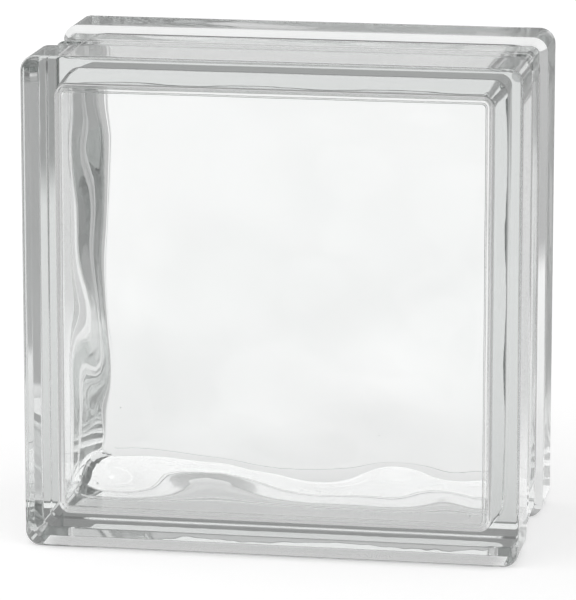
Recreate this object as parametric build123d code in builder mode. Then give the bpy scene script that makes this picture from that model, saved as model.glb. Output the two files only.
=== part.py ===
from build123d import *
import os
from math import atan, cos, degrees, pi, radians, sin

# Hollow glass block: two pressed half-shells, fused at a seam round the middle of the edge.
# Units are millimetres. The block stands on one edge, its front face towards -Y, +Z up,
# with the origin at the middle of its underside, in the seam plane.

# Block
face_side = 190.0
thickness = 100.0
corner_radius = 6.0
arris_radius = 1.2

# Flange round each face, and the shallow mortar key between the two flanges
flange_depth = 25.0
key_depth = 2.9
key_slope_run = 4.2
key_root_radius = 3.0
flange_back_radius = 0.9

# Low swelling where the halves are fused
seam_swell_height = 0.4
seam_swell_half_width = 4.0

# Hollow
pane_thickness = 10.2
wall_at_pane = 11.4
draft_angle = 3.0
hollow_corner_radius = 4.6
hollow_pane_radius = 2.5

# Waves pressed into the inner face of each pane, four that cross each other
broad_wave_height = 0.85
broad_wave_length = 90.0
slanting_wave_height = 0.6
slanting_wave_length = 63.0
upright_wave_height = 0.45
upright_wave_length = 59.0
level_wave_height = 0.4
level_wave_length = 44.0

# The waves die out towards a flat border, which lies a hair inside the end of the wall's rounding
wave_margin = 16.0
wave_border_step = 0.25
wave_grid_step = 9.0

# Run past a surface for every cut, and the width of the slice that picks edges at one depth
overrun = 2.0
slice_width = 0.02

half_depth = thickness / 2
centre_height = face_side / 2
key_side = face_side - 2 * key_depth
key_corner_radius = corner_radius - key_depth
key_slope_angle = degrees(atan(key_depth / key_slope_run))
key_floor_depth = half_depth - flange_depth - key_slope_run
seam_swell_angle = degrees(atan(seam_swell_height / seam_swell_half_width))
hollow_depth = half_depth - pane_thickness
hollow_side = face_side - 2 * wall_at_pane
wave_reach = hollow_side / 2 - hollow_corner_radius

# Each wave's height, length, direction in degrees from the pane's own x, and start share
waves = [
    (broad_wave_height, broad_wave_length, 23, -0.425),
    (slanting_wave_height, slanting_wave_length, 45, -0.185),
    (upright_wave_height, upright_wave_length, -18, 0.115),
    (level_wave_height, level_wave_length, 80, 0.41),
]
wave_crest = sum(height for height, length, direction, start_share in waves)


def fade(across):
    """One over most of the pane, falling smoothly to zero at the flat border."""
    share = min(max((wave_reach - abs(across)) / wave_margin, 0), 1)
    return share * share * (3 - 2 * share)


def wave(x, y):
    """How far the pane's inner face stands outside its mean plane at a place on the pane."""
    rise = 0
    for height, length, direction, start_share in waves:
        along = x * cos(radians(direction)) + y * sin(radians(direction))
        rise += height * cos(2 * pi * (along / length + start_share))
    return rise * fade(x) * fade(y)


def wave_face(seam):
    """The rippled inner face of a pane, run out flat past the hollow on every side."""
    reach = hollow_side / 2 + overrun
    count = 2 * round(reach / wave_grid_step) + 1
    places = [reach * (2 * i / (count - 1) - 1) for i in range(count)]
    rows = [
        [
            seam.from_local_coords(Vector(x, y, hollow_depth - wave_border_step + wave(x, y)))
            for y in places
        ]
        for x in places
    ]
    return Face.make_surface_from_array_of_points(rows)


def edges_at(part, outward, depth):
    """The edges whose middles lie at one depth from the seam."""
    return part.edges().filter_by_position(outward, depth - slice_width / 2, depth + slice_width / 2)


def leaning_prism(base, side, radius, height, angle):
    """A round-cornered square prism, its top of the given size, whose sides spread towards its base."""
    with BuildPart() as prism:
        with BuildSketch(base):
            RectangleRounded(side, side, radius)
        extrude(amount=height)
        ends = prism.faces().filter_by(base)
        draft(prism.faces() - ends, neutral_plane=base.offset(height), angle=angle)
    return prism.part


def hollow_cutter(seam):
    """The space inside one half: leaning walls, rounded inner edges and a rippled end."""
    walls = leaning_prism(seam, hollow_side, hollow_corner_radius, hollow_depth, draft_angle)
    with BuildPart() as hollow:
        add(walls)
        fillet(edges_at(hollow, Axis(seam.origin, seam.z_dir), hollow_depth), hollow_pane_radius)
        with BuildSketch(seam):
            Rectangle(2 * wave_reach, 2 * wave_reach)
        extrude(amount=hollow_depth + wave_crest)
        extrude(
            wave_face(seam),
            amount=hollow_depth,
            dir=seam.z_dir,
            mode=Mode.SUBTRACT,
        )
    return hollow.part


def pressed_half(seam):
    """One pressed half-shell, built outward from the seam plane along its normal."""
    outward = Axis(seam.origin, seam.z_dir)
    swell = leaning_prism(
        seam, key_side, key_corner_radius, seam_swell_half_width, seam_swell_angle
    )
    slope = leaning_prism(
        seam.offset(key_floor_depth), face_side, corner_radius, key_slope_run, -key_slope_angle
    )
    with BuildPart() as half:
        add(swell)
        with BuildSketch(seam.offset(seam_swell_half_width)):
            RectangleRounded(key_side, key_side, key_corner_radius)
        extrude(amount=key_floor_depth - seam_swell_half_width)
        add(slope)
        with BuildSketch(seam.offset(half_depth - flange_depth)):
            RectangleRounded(face_side, face_side, corner_radius)
        extrude(amount=flange_depth)
        fillet(edges_at(half, outward, half_depth), arris_radius)
        fillet(edges_at(half, outward, half_depth - flange_depth), flange_back_radius)
        fillet(edges_at(half, outward, key_floor_depth), key_root_radius)
        add(hollow_cutter(seam), mode=Mode.SUBTRACT)
    return half.part


os.makedirs("parts", exist_ok=True)

# The seam plane's normal points from the seam towards each half's own face.
# The rear half is turned by a quarter, so the waves of the two panes cross.
front_seam = Plane(origin=(0, 0, centre_height), x_dir=(1, 0, 0), z_dir=(0, -1, 0))
rear_seam = Plane(origin=(0, 0, centre_height), x_dir=(0, 0, 1), z_dir=(0, 1, 0))

front_half = pressed_half(front_seam)
front_half.label = "front_half"
export_step(front_half, "parts/front_half.step")

rear_half = pressed_half(rear_seam)
rear_half.label = "rear_half"
export_step(rear_half, "parts/rear_half.step")
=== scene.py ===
import math

import bmesh
import bpy
import numpy as np
from mathutils import Matrix, Vector


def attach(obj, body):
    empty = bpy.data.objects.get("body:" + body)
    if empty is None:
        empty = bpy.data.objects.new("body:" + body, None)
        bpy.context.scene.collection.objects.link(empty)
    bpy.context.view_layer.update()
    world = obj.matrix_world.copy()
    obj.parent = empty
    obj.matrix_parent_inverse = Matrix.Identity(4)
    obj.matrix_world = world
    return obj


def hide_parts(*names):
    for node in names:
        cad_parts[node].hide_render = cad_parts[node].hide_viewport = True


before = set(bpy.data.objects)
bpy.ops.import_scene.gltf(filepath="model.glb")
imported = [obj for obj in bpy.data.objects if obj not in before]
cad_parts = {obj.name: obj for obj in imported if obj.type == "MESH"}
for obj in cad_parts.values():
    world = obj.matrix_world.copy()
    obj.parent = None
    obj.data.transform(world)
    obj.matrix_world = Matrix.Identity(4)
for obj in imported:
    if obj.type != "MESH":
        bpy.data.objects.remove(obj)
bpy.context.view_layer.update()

# Lengths are millimetres while the mesh is worked out, and metres in Blender.
MM = 0.001

# Block: the section that the solids have
FACE_SIDE = 190.0
THICKNESS = 100.0
CORNER_RADIUS = 6.0
ARRIS_RADIUS = 1.2
FLANGE_DEPTH = 25.0
FLANGE_BACK_RADIUS = 0.9
KEY_DEPTH = 2.9
KEY_SLOPE_RUN = 4.2
KEY_ROOT_RADIUS = 3.0
SWELL_HEIGHT = 0.4
SWELL_HALF_WIDTH = 4.0
PANE_THICKNESS = 10.2
WALL_AT_PANE = 11.4
DRAFT = math.radians(3.0)
HOLLOW_CORNER_RADIUS = 4.6
HOLLOW_PANE_RADIUS = 2.5

HALF = FACE_SIDE / 2
HALF_DEPTH = THICKNESS / 2
HOLLOW_DEPTH = HALF_DEPTH - PANE_THICKNESS
HOLLOW_HALF = HALF - WALL_AT_PANE

# Waves on the panes' inner faces: height, length, direction in degrees and start share of each
WAVES = [
    (0.85, 90.0, 23, -0.425),
    (0.6, 63.0, 45, -0.185),
    (0.45, 59.0, -18, 0.115),
    (0.4, 44.0, 80, 0.41),
]
WAVE_MARGIN = 16.0
WAVE_REACH = HOLLOW_HALF - HOLLOW_CORNER_RADIUS

# Behind the pane's rounding, the waves die out along the wall over this depth.
WAVE_FADE_DEPTH = 6.0

# Places where the front pane's inner face leans a little from its waves, as the photo shows by the bends
# in the pane's edge lines: place across and up from the middle, lean across and up, reach across and up
LEANS = [
    (-67, -24, 0.085, 0.0, 5, 7),
    (-67, -58, 0.07, 0.0, 5, 11),
    (-67, 50, 0.035, 0.0, 5, 12),
    (47, -62, 0.0, 0.115, 7, 5),
    (18, -62, 0.0, 0.045, 12, 5),
    (-18, -62, 0.0, 0.03, 5, 5),
]

# Unevenness of the hollow's walls: how far they swing, the lengths of the swing along and through the
# block, and where it starts on the upright walls and on the level ones, along and through the block
WALL_SWING = 0.03
WALL_SWING_LENGTH = 52.0
WALL_SWING_DEPTH = 37.0
UPRIGHT_WALL_START = (11.0, 0.0)
LEVEL_WALL_START = (-7.0, 9.0)

# A fine line that the plunger's edge pressed round each pane, just inside the rounding of the wall
PRESS_LINE_DEPTH = 0.28
PRESS_LINE_HALF_WIDTH = 0.5
PRESS_LINE_RINGS = 9

# Seeds, small bubbles in the glass: place from the block's middle, and radius
SEEDS = [
    ((41.5, -46.0, -46.5), 0.22),
    ((-58.0, -45.0, -40.0), 0.25),
    ((-74.0, -44.0, -68.0), 0.6),
    ((-78.5, -44.0, -71.0), 0.45),
    ((-75.5, -43.0, -74.0), 0.4),
    ((-67.5, -43.0, -70.5), 0.45),
    ((-70.0, -44.5, -75.0), 0.5),
    ((-72.5, -42.5, -78.0), 0.3),
    ((76.0, -44.0, -76.5), 0.35),
]
SEED_SUBDIVISIONS = 2

# Places on each ring: along a side, and round a corner, which keeps at least this share of the half side
STRAIGHT_STEPS = 60
CORNER_STEPS = 12
LEAST_CORNER_SHARE = 0.02

# Rings on each stretch of the outer profile, from the middle of a face to the seam
FACE_RINGS = 12
FIRST_FACE_SHARE = 0.08
ARRIS_RINGS = 9
FLANGE_RINGS = 7
FLANGE_BACK_RINGS = 7
KEY_ROOT_RINGS = 9
KEY_RINGS = 5
SWELL_RINGS = 9

# Rings on each stretch of the hollow's profile, from the middle of a pane to the seam
PANE_RINGS = 44
FIRST_PANE_SHARE = 0.03
FILLET_RINGS = 13
WALL_RINGS = 14

# Half the step over which a field's slope is taken
HAIR = 1e-3


def ring(half, radius):
    """Places on a square with round corners, and the way out of it, in the XZ plane."""
    straight = half - radius
    turns = np.linspace(0, math.pi / 2, CORNER_STEPS + 1)[:-1]
    x = np.concatenate([np.full(STRAIGHT_STEPS, half), straight + radius * np.cos(turns)])
    z = np.concatenate([
        straight * np.linspace(-1, 1, STRAIGHT_STEPS + 1)[:-1],
        straight + radius * np.sin(turns),
    ])
    out_x = np.concatenate([np.ones(STRAIGHT_STEPS), np.cos(turns)])
    out_z = np.concatenate([np.zeros(STRAIGHT_STEPS), np.sin(turns)])
    quarters = []
    for _ in range(4):
        quarters.append((x, z, out_x, out_z))
        x, z, out_x, out_z = -z, x, -out_z, out_x
    return [np.concatenate(values) for values in zip(*quarters)]


def arc(centre, radius, start, end, count):
    """Profile points on an arc: (half side, depth, normal half side, normal depth)."""
    rows = []
    for angle in np.linspace(math.radians(start), math.radians(end), count):
        c, s = math.cos(angle), math.sin(angle)
        rows.append((centre[0] + radius * c, centre[1] + radius * s, c, s))
    return rows


def skin(rows, corner_radius, at_half, sign):
    """A closed skin of rings. rows are (half, y, normal half, normal y), from front to rear."""
    places, normals, faces = [], [], []
    count = 4 * (STRAIGHT_STEPS + CORNER_STEPS)
    first, last = rows[0], rows[-1]
    places.append([[0.0, first[1], 0.0]])
    normals.append([[0.0, first[3], 0.0]])
    for half, y, n_half, n_y in rows:
        radius = max(corner_radius - (at_half - half), LEAST_CORNER_SHARE * half)
        x, z, ox, oz = ring(half, radius)
        places.append(np.stack([x, np.full_like(x, y), z], axis=1))
        normals.append(np.stack([n_half * ox, np.full_like(x, n_y), n_half * oz], axis=1))
    places.append([[0.0, last[1], 0.0]])
    normals.append([[0.0, last[3], 0.0]])
    places = np.concatenate(places)
    normals = np.concatenate(normals) * sign
    total = len(rows)
    end = 1 + total * count
    for j in range(count):
        k = (j + 1) % count
        faces.append((0, 1 + k, 1 + j))
        faces.append((end, end - count + j, end - count + k))
    for i in range(total - 1):
        base = 1 + i * count
        for j in range(count):
            k = (j + 1) % count
            faces.append((base + j, base + k, base + count + k, base + count + j))
    if sign > 0:
        faces = [face[::-1] for face in faces]
    return places, normals, faces


def smooth_step(v, low, high):
    """Zero up to low, one from high on, and a smooth rise between."""
    t = np.clip((v - low) / (high - low), 0, 1)
    return t * t * (3 - 2 * t)


def wave(x, y):
    """How far a pane's inner face stands outside its mean plane."""
    rise = 0.0
    for height, length, direction, start_share in WAVES:
        turn = math.radians(direction)
        along = x * math.cos(turn) + y * math.sin(turn)
        rise = rise + height * np.cos(2 * math.pi * (along / length + start_share))
    fade_x = 1 - smooth_step(np.abs(x), WAVE_REACH - WAVE_MARGIN, WAVE_REACH)
    fade_y = 1 - smooth_step(np.abs(y), WAVE_REACH - WAVE_MARGIN, WAVE_REACH)
    return rise * fade_x * fade_y


def lean(x, z):
    """How far the leans carry the front pane's inner face outward."""
    rise = 0.0
    for at_x, at_z, across, up, reach_x, reach_z in LEANS:
        near = np.exp(-(((x - at_x) / reach_x) ** 2 + ((z - at_z) / reach_z) ** 2) / 2)
        rise = rise + (across * (x - at_x) + up * (z - at_z)) * near
    return rise


def swing(along, through):
    """The share by which a wall of the hollow stands out at a place along and through the block."""
    along_turn = 2 * math.pi * along / WALL_SWING_LENGTH
    through_turn = 2 * math.pi * through / WALL_SWING_DEPTH
    return WALL_SWING / HOLLOW_HALF * np.sin(along_turn) * np.cos(through_turn)


def warp(p):
    """Moves places in the hollow: the waves of both panes, the front pane's leans, and the uneven walls."""
    x, y, z = p[:, 0], p[:, 1], p[:, 2]
    start = HOLLOW_DEPTH - HOLLOW_PANE_RADIUS - WAVE_FADE_DEPTH
    front = smooth_step(-y, start, HOLLOW_DEPTH)
    rear = smooth_step(y, start, HOLLOW_DEPTH)
    moved = p.copy()
    moved[:, 0] = x * (1 + swing(z + UPRIGHT_WALL_START[0], y + UPRIGHT_WALL_START[1]))
    moved[:, 1] = y - front * (wave(x, z) + lean(x, z)) + rear * wave(z, x)
    moved[:, 2] = z * (1 + swing(x + LEVEL_WALL_START[0], y + LEVEL_WALL_START[1]))
    return moved


def warped(places, normals, field):
    """Places and normals after a smooth field has moved them."""
    moved = field(places)
    slopes = np.zeros((len(places), 3, 3))
    for i in range(3):
        step = np.zeros(3)
        step[i] = HAIR
        slopes[:, :, i] = (field(places + step) - field(places - step)) / (2 * HAIR)
    inverse = np.linalg.inv(slopes)
    turned = np.einsum("nij,ni->nj", inverse, normals)
    turned /= np.linalg.norm(turned, axis=1)[:, None]
    return moved, turned


def outer_rows():
    """Profile of the outside, from the middle of the front face to the middle of the rear face."""
    rows = []
    front = -HALF_DEPTH
    inner = HALF - ARRIS_RADIUS
    for share in np.linspace(FIRST_FACE_SHARE, 1, FACE_RINGS)[:-1]:
        rows.append((inner * share, front, 0, -1))
    rows += arc((inner, front + ARRIS_RADIUS), ARRIS_RADIUS, -90, 0, ARRIS_RINGS)
    slope = math.atan2(KEY_DEPTH, KEY_SLOPE_RUN)
    slope_angle = math.degrees(slope)
    reach = FLANGE_BACK_RADIUS * math.tan(slope / 2)
    edge = front + FLANGE_DEPTH
    for y in np.linspace(front + ARRIS_RADIUS, edge - reach, FLANGE_RINGS)[1:-1]:
        rows.append((HALF, y, 1, 0))
    back_centre = (HALF - FLANGE_BACK_RADIUS, edge - reach)
    rows += arc(back_centre, FLANGE_BACK_RADIUS, 0, slope_angle, FLANGE_BACK_RINGS)
    root = edge + KEY_SLOPE_RUN + KEY_ROOT_RADIUS * math.tan(slope / 2)
    floor = HALF - KEY_DEPTH
    root_centre = (floor + KEY_ROOT_RADIUS, root)
    root_arc = arc(root_centre, KEY_ROOT_RADIUS, 180 + slope_angle, 180, KEY_ROOT_RINGS)
    rows += [(half, y, -c, -s) for half, y, c, s in root_arc]
    for y in np.linspace(root, -SWELL_HALF_WIDTH, KEY_RINGS)[1:]:
        rows.append((floor, y, 1, 0))
    for share in np.linspace(-1, 0, SWELL_RINGS)[1:]:
        half = floor + SWELL_HEIGHT * (1 + math.cos(math.pi * share)) / 2
        rise = -SWELL_HEIGHT * math.sin(math.pi * share) * math.pi / 2 / SWELL_HALF_WIDTH
        size = math.hypot(1, rise)
        rows.append((half, share * SWELL_HALF_WIDTH, 1 / size, -rise / size))
    return rows + [(half, -y, n_half, -n_y) for half, y, n_half, n_y in rows[:-1]][::-1]


def hollow_rows():
    """Profile of the hollow, from the middle of the front pane to the middle of the rear pane."""
    rows = []
    fillet = HOLLOW_PANE_RADIUS
    inner = HOLLOW_HALF - fillet
    for share in np.linspace(FIRST_PANE_SHARE, 1, PANE_RINGS)[:-1]:
        rows.append((inner * share, -HOLLOW_DEPTH, 0, -1))
    for share in np.linspace(-1, 1, PRESS_LINE_RINGS)[:-1]:
        half = inner + (share - 1) * PRESS_LINE_HALF_WIDTH
        drop = PRESS_LINE_DEPTH * (1 + math.cos(math.pi * share)) / 2
        rise = PRESS_LINE_DEPTH * math.sin(math.pi * share) * math.pi / 2 / PRESS_LINE_HALF_WIDTH
        size = math.hypot(1, rise)
        rows.append((half, -HOLLOW_DEPTH - drop, rise / size, -1 / size))
    rows += arc((inner, -HOLLOW_DEPTH + fillet), fillet, -90, -math.degrees(DRAFT), FILLET_RINGS)
    half_start, y_start = rows[-1][0], rows[-1][1]
    for y in np.linspace(y_start, 0, WALL_RINGS)[1:-1]:
        half = half_start + (y - y_start) * math.tan(DRAFT)
        rows.append((half, y, math.cos(DRAFT), -math.sin(DRAFT)))
    seam = half_start - y_start * math.tan(DRAFT)
    return (
        rows + [(seam, 0, 1, 0)] + [(half, -y, n_half, -n_y) for half, y, n_half, n_y in rows][::-1]
    )


def seed_skins():
    """The skins of all seeds; each faces its own middle, as the hollow's skin does."""
    ball = bmesh.new()
    bmesh.ops.create_icosphere(ball, subdivisions=SEED_SUBDIVISIONS, radius=1)
    ball.verts.index_update()
    unit = np.array([vertex.co[:] for vertex in ball.verts])
    faces = [tuple(vertex.index for vertex in face.verts)[::-1] for face in ball.faces]
    ball.free()
    return [(np.array(place) + radius * unit, -unit, faces) for place, radius in SEEDS]


def ranged(nodes, links, value, low, high, to_low, to_high):
    """A value carried smoothly from one range to another."""
    node = nodes.new("ShaderNodeMapRange")
    node.interpolation_type = "SMOOTHSTEP"
    node.inputs["From Min"].default_value = low
    node.inputs["From Max"].default_value = high
    node.inputs["To Min"].default_value = to_low
    node.inputs["To Max"].default_value = to_high
    links.new(value, node.inputs["Value"])
    return node.outputs["Result"]


def worked_out(nodes, links, operation, *values):
    """Values put together by a math node; each is a socket or a number."""
    node = nodes.new("ShaderNodeMath")
    node.operation = operation
    for socket, value in zip(node.inputs, values):
        if isinstance(value, (int, float)):
            socket.default_value = value
        else:
            links.new(value, socket)
    return node.outputs[0]


def noise(nodes, links, place, scale, detail):
    """A noise texture over the block's own metres."""
    texture = nodes.new("ShaderNodeTexNoise")
    texture.inputs["Scale"].default_value = scale
    texture.inputs["Detail"].default_value = detail
    links.new(place, texture.inputs["Vector"])
    return texture.outputs["Fac"]


# Glass: what it bends and takes from the light, clouds of greyer glass, haze, and ripples of the skin.
# Noise scales are per metre, and a low and high pair says where on the noise a feature starts and is full.
GLASS_IOR = 1.52
BODY_COLOUR = (0.0, 0.05, 0.03, 1)
BODY_DENSITY = 4.0
GREYER_GLASS, CLEARER_GLASS = (0.972, 0.977, 0.975, 1), (0.995, 0.997, 0.996, 1)
CLOUD_SCALE, CLOUD_DETAIL = 14, 3
CLOUD_LOW, CLOUD_HIGH = 0.35, 0.65
HAZE_SCALE, HAZE_DETAIL = 30, 4
HAZE_LOW, HAZE_HIGH = 0.55, 0.8
HAZE_ROUGHNESS = 0.006
RIPPLE_SCALE, RIPPLE_DETAIL = 55, 2
RIPPLE_STRENGTH, RIPPLE_HEIGHT = 0.03, 0.001

# A small matt spot on the front face's upper right corner, in metres
SPOT = (0.093, -0.05, 0.1876)
SPOT_RADIUS, SPOT_EDGE = 0.0022, 0.0026
SPOT_ROUGHNESS = 0.5


def spot_roughness(nodes, links, place):
    """The roughness of the matt spot, zero away from it."""
    away = nodes.new("ShaderNodeVectorMath")
    away.operation = "DISTANCE"
    links.new(place, away.inputs[0])
    away.inputs[1].default_value = SPOT
    return ranged(nodes, links, away.outputs["Value"], SPOT_RADIUS, SPOT_EDGE, SPOT_ROUGHNESS, 0.0)


def glass_material():
    """Clear pressed glass: greyer clouds in it, faint haze, and a fire-polished skin that ripples."""
    material = bpy.data.materials.new("clear_glass")
    material.use_nodes = True
    nodes, links = material.node_tree.nodes, material.node_tree.links
    shader = nodes["Principled BSDF"]
    shader.inputs["Transmission Weight"].default_value = 1.0
    shader.inputs["IOR"].default_value = GLASS_IOR
    place = nodes.new("ShaderNodeTexCoord").outputs["Object"]

    cloud_noise = noise(nodes, links, place, CLOUD_SCALE, CLOUD_DETAIL)
    tint = nodes.new("ShaderNodeMix")
    tint.data_type = "RGBA"
    tint.inputs["A"].default_value = GREYER_GLASS
    tint.inputs["B"].default_value = CLEARER_GLASS
    links.new(ranged(nodes, links, cloud_noise, CLOUD_LOW, CLOUD_HIGH, 0, 1), tint.inputs["Factor"])
    links.new(tint.outputs["Result"], shader.inputs["Base Color"])

    haze_noise = noise(nodes, links, place, HAZE_SCALE, HAZE_DETAIL)
    haze = ranged(nodes, links, haze_noise, HAZE_LOW, HAZE_HIGH, 0.0, HAZE_ROUGHNESS)
    roughness = worked_out(nodes, links, "MAXIMUM", haze, spot_roughness(nodes, links, place))
    links.new(roughness, shader.inputs["Roughness"])

    ripples = nodes.new("ShaderNodeBump")
    ripples.inputs["Strength"].default_value = RIPPLE_STRENGTH
    ripples.inputs["Distance"].default_value = RIPPLE_HEIGHT
    links.new(noise(nodes, links, place, RIPPLE_SCALE, RIPPLE_DETAIL), ripples.inputs["Height"])
    links.new(ripples.outputs["Normal"], shader.inputs["Normal"])

    body = nodes.new("ShaderNodeVolumeAbsorption")
    body.inputs["Color"].default_value = BODY_COLOUR
    body.inputs["Density"].default_value = BODY_DENSITY
    links.new(body.outputs["Volume"], nodes["Material Output"].inputs["Volume"])
    return material


def glass_block():
    """The fused block as one closed mesh: its outside, its hollow and its seeds."""
    outside = skin(outer_rows(), CORNER_RADIUS, HALF, 1)
    places, normals, faces = skin(hollow_rows(), HOLLOW_CORNER_RADIUS, HOLLOW_HALF, -1)
    hollow = (*warped(places, normals, warp), faces)
    all_places, all_normals, all_faces = [], [], []
    shift = 0
    for places, normals, faces in [outside, hollow, *seed_skins()]:
        all_places.append(places)
        all_normals.append(normals)
        all_faces += [tuple(i + shift for i in face) for face in faces]
        shift += len(places)
    all_places = np.concatenate(all_places)
    all_places[:, 2] += HALF
    all_normals = np.concatenate(all_normals)
    mesh = bpy.data.meshes.new("glass_block")
    mesh.from_pydata((all_places * MM).tolist(), [], all_faces)
    mesh.polygons.foreach_set("use_smooth", [True] * len(mesh.polygons))
    mesh.update()
    mesh.normals_split_custom_set_from_vertices(all_normals.tolist())
    block = bpy.data.objects.new("glass_block", mesh)
    bpy.context.collection.objects.link(block)
    mesh.materials.append(glass_material())
    return block


block = glass_block()
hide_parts("front_half", "rear_half")
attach(block, "root")

# Camera: its turn and pitch, its place from the block's middle in millimetres, and its lens in pixels of
# the photograph's height
YAW = math.radians(10.08)
PITCH = math.radians(12.35)
DISTANCE = 1778.0
SIDE_SHIFT = -1.75
RISE = -5.9
FOCAL_PIXELS = 4612.0
FRAME_HEIGHT = 600
SENSOR = 36.0
CLIP_END = 100


def add_camera():
    """The camera at the photograph's angle."""
    back = Vector(
        (math.sin(YAW) * math.cos(PITCH), -math.cos(YAW) * math.cos(PITCH), math.sin(PITCH))
    )
    right = Vector((math.cos(YAW), math.sin(YAW), 0))
    up = back.cross(right)
    place = Vector((0, 0, HALF)) + back * DISTANCE + right * SIDE_SHIFT + up * RISE
    data = bpy.data.cameras.new("camera")
    data.sensor_fit = "VERTICAL"
    data.sensor_height = SENSOR
    data.lens = FOCAL_PIXELS / FRAME_HEIGHT * SENSOR
    data.clip_end = CLIP_END
    camera = bpy.data.objects.new("camera", data)
    bpy.context.collection.objects.link(camera)
    camera.matrix_world = Matrix.Translation(place * MM) @ Matrix((right, up, back)).transposed().to_4x4()
    bpy.context.scene.camera = camera


add_camera()

# Floor, in metres: pale, with painted light in its glow: a soft strip of painted light that widens as it
# runs out behind the block, a little painted light from the left, and a painted shadow under the front
# flange. A place called edge or gone is where a feature ends, and the place beside it is where the feature
# is full.
FLOOR_REACH = 8.0
FLOOR_COLOUR = (0.7, 0.7, 0.7, 1)
FLOOR_ROUGHNESS = 0.9
STRIP_CORE, STRIP_EDGE = 0.118, 0.155
STRIP_SPREAD = 0.6
STRIP_LEAST_SPREAD = 0.6
STRIP_NEAR, STRIP_FAR = 0.0, 0.7
# Strength of the light painted into the strip, near the block and far out
PAINTED_STRIP_NEAR_LIGHT, PAINTED_STRIP_FAR_LIGHT = 0.49, 0.57
STRIP_END, STRIP_GONE = 3.2, 5.0
# Light painted into the floor's glow from the left, fading to none on the right
PAINTED_LEFT_LIGHT, PAINTED_RIGHT_LIGHT = 0.12, 0.0
SIDE_REACH = 0.7
# Share of the floor's glow left in the shadow painted under the front flange
PAINTED_SHADOW_UNDER_FLANGE = 0.5
SHADE_CORE, SHADE_EDGE = 0.08, 0.1
SHADE_FRONT_EDGE, SHADE_FRONT = -0.06, -0.045
SHADE_BACK, SHADE_BACK_EDGE = -0.03, -0.018


def axes_of(nodes, links, vector):
    """The first two axes of a vector."""
    split = nodes.new("ShaderNodeSeparateXYZ")
    links.new(vector, split.inputs["Vector"])
    return split.outputs["X"], split.outputs["Y"]


def painted_light_strip(nodes, links, side, along):
    """The painted strip of light and the painted light from the left, over the floor as the camera looks
    along it.
    """
    widening = worked_out(nodes, links, "MULTIPLY_ADD", along, STRIP_SPREAD, 1.0)
    spread = worked_out(nodes, links, "MAXIMUM", widening, STRIP_LEAST_SPREAD)
    across = worked_out(nodes, links, "DIVIDE", worked_out(nodes, links, "ABSOLUTE", side), spread)
    # The strip is painted light: a pool of glow in the floor's emission
    strip = ranged(nodes, links, across, STRIP_CORE, STRIP_EDGE, 1, 0)
    painted_glow = ranged(nodes, links, along, STRIP_NEAR, STRIP_FAR, PAINTED_STRIP_NEAR_LIGHT, PAINTED_STRIP_FAR_LIGHT)
    remaining = ranged(nodes, links, along, STRIP_END, STRIP_GONE, 1, 0)
    painted_glow = worked_out(nodes, links, "MULTIPLY", painted_glow, remaining)
    # Painted light from the left
    painted_side_light = ranged(nodes, links, side, -SIDE_REACH, SIDE_REACH, PAINTED_LEFT_LIGHT, PAINTED_RIGHT_LIGHT)
    return worked_out(nodes, links, "MULTIPLY_ADD", strip, painted_glow, painted_side_light)


def painted_flange_shadow(nodes, links, x, y):
    """The share of the floor's glow that is left under the front flange, where a shadow is painted."""
    within_x = ranged(
        nodes, links, worked_out(nodes, links, "ABSOLUTE", x), SHADE_CORE, SHADE_EDGE, 1, 0
    )
    behind_front = ranged(nodes, links, y, SHADE_FRONT_EDGE, SHADE_FRONT, 0, 1)
    before_back = ranged(nodes, links, y, SHADE_BACK, SHADE_BACK_EDGE, 1, 0)
    within_y = worked_out(nodes, links, "MULTIPLY", behind_front, before_back)
    # Painted shadow: the glow is dimmed under the front flange
    painted_shadow = worked_out(nodes, links, "MULTIPLY", within_x, within_y)
    return ranged(nodes, links, painted_shadow, 0, 1, 1, PAINTED_SHADOW_UNDER_FLANGE)


def floor_material():
    """A pale matt floor that glows softly; its glow paints a strip of light, light from the left and a
    shadow under the front flange.
    """
    material = bpy.data.materials.new("pale_floor_painted_light")
    material.use_nodes = True
    nodes, links = material.node_tree.nodes, material.node_tree.links
    shader = nodes["Principled BSDF"]
    shader.inputs["Base Color"].default_value = FLOOR_COLOUR
    shader.inputs["Roughness"].default_value = FLOOR_ROUGHNESS
    shader.inputs["Specular IOR Level"].default_value = 0.0
    shader.inputs["Emission Color"].default_value = (1, 1, 1, 1)
    place = nodes.new("ShaderNodeTexCoord").outputs["Object"]
    turned = nodes.new("ShaderNodeMapping")
    turned.inputs["Rotation"].default_value = (0, 0, -YAW)
    links.new(place, turned.inputs["Vector"])
    painted_glow = painted_light_strip(nodes, links, *axes_of(nodes, links, turned.outputs["Vector"]))
    painted_shadow = painted_flange_shadow(nodes, links, *axes_of(nodes, links, place))
    # The emission paints the strip of light, the light from the left and the shadow under the flange onto
    # the floor
    links.new(worked_out(nodes, links, "MULTIPLY", painted_glow, painted_shadow), shader.inputs["Emission Strength"])
    return material


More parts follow.
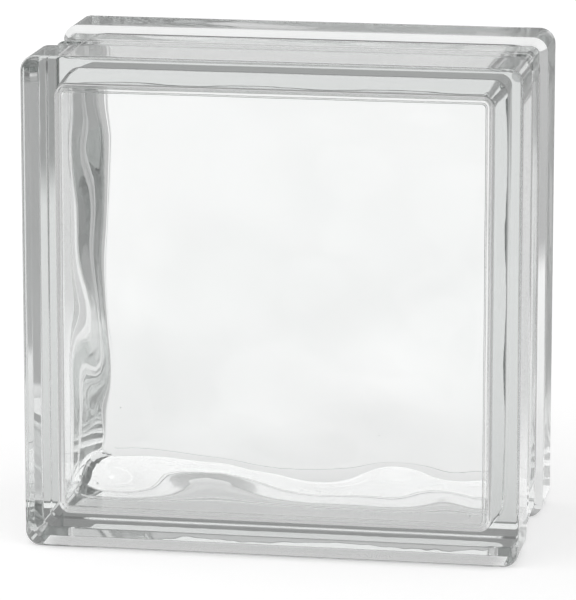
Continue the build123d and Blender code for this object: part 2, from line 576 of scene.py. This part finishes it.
def add_floor():
    """The floor that the block stands on."""
    mesh = bpy.data.meshes.new("floor")
    corners = [(-1, -1), (1, -1), (1, 1), (-1, 1)]
    mesh.from_pydata([(x * FLOOR_REACH, y * FLOOR_REACH, 0) for x, y in corners], [], [(0, 1, 2, 3)])
    floor = bpy.data.objects.new("floor", mesh)
    bpy.context.collection.objects.link(floor)
    mesh.materials.append(floor_material())


add_floor()

# Studio: an even grey room with broad soft lights, each a direction, the angles at which it is full and
# gone, and its strength
ROOM_LIGHT = 0.48
SOFT_LIGHTS = [
    ((0.0, -0.55, 0.85), 15, 75, 0.5),
    ((-1.0, 0.0, 0.15), 10, 60, 0.15),
    ((0.1, 0.7, 0.65), 20, 50, -0.25),
    ((0.0, 0.985, 0.16), 6, 20, 0.12),
]


def light_share(nodes, links, way, direction, full, gone):
    """One near a soft light's direction, and zero past the angle at which it is gone."""
    dot = nodes.new("ShaderNodeVectorMath")
    dot.operation = "DOT_PRODUCT"
    links.new(way, dot.inputs[0])
    dot.inputs[1].default_value = Vector(direction).normalized()
    low, high = math.cos(math.radians(gone)), math.cos(math.radians(full))
    return ranged(nodes, links, dot.outputs["Value"], low, high, 0, 1)


def add_world():
    """The room's light on the block and the floor."""
    world = bpy.data.worlds.new("studio")
    bpy.context.scene.world = world
    world.use_nodes = True
    nodes, links = world.node_tree.nodes, world.node_tree.links
    way = nodes.new("ShaderNodeTexCoord").outputs["Generated"]
    total = ROOM_LIGHT
    for direction, full, gone, strength in SOFT_LIGHTS:
        share = light_share(nodes, links, way, direction, full, gone)
        total = worked_out(nodes, links, "MULTIPLY_ADD", share, strength, total)
    links.new(total, nodes["Background"].inputs["Color"])


add_world()

# Light goes to and fro inside the thick rim many times before it leaves.
LIGHT_BOUNCES = 40

cycles = bpy.context.scene.cycles
cycles.max_bounces = LIGHT_BOUNCES
cycles.glossy_bounces = LIGHT_BOUNCES
cycles.transmission_bounces = LIGHT_BOUNCES
bpy.context.scene.view_settings.view_transform = "Standard"
